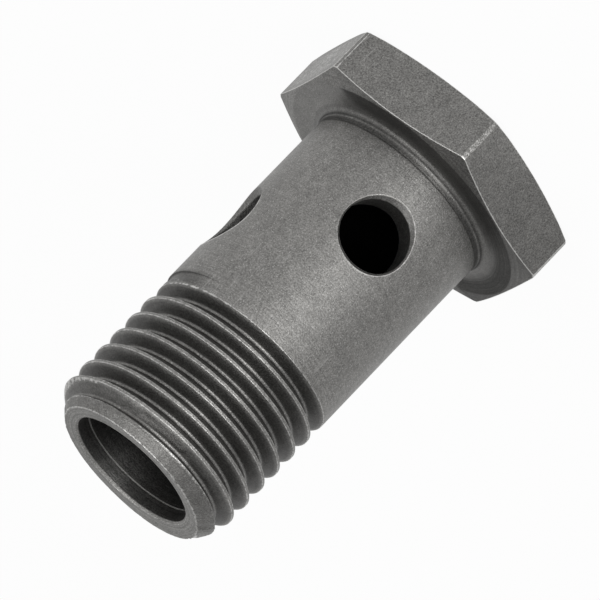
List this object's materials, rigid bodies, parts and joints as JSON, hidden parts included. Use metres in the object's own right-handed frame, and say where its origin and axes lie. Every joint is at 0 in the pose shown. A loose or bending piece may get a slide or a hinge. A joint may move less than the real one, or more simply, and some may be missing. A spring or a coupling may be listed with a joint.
{
  "type": "banjo bolt",
  "caption": "Hollow hexagon-head bolt with a threaded open end, a deep axial bore and two cross holes through its plain shank, for fixing a banjo fitting and passing fluid into it.",
  "frame": {"origin": "centre of the head's top face, on which the bolt stands", "axes": "+Z along the axis towards the threaded tip, +X out of the lower cross hole, +Y out of the upper cross hole"},
  "size_m": [0.0218, 0.019, 0.0309],
  "materials": {
    "steel": "bare turned steel, fine-grained satin grey, brighter on its worn edges"
  },
  "bodies": {
    "root": {"banjo_bolt": "steel"}
  },
  "joints": []
}
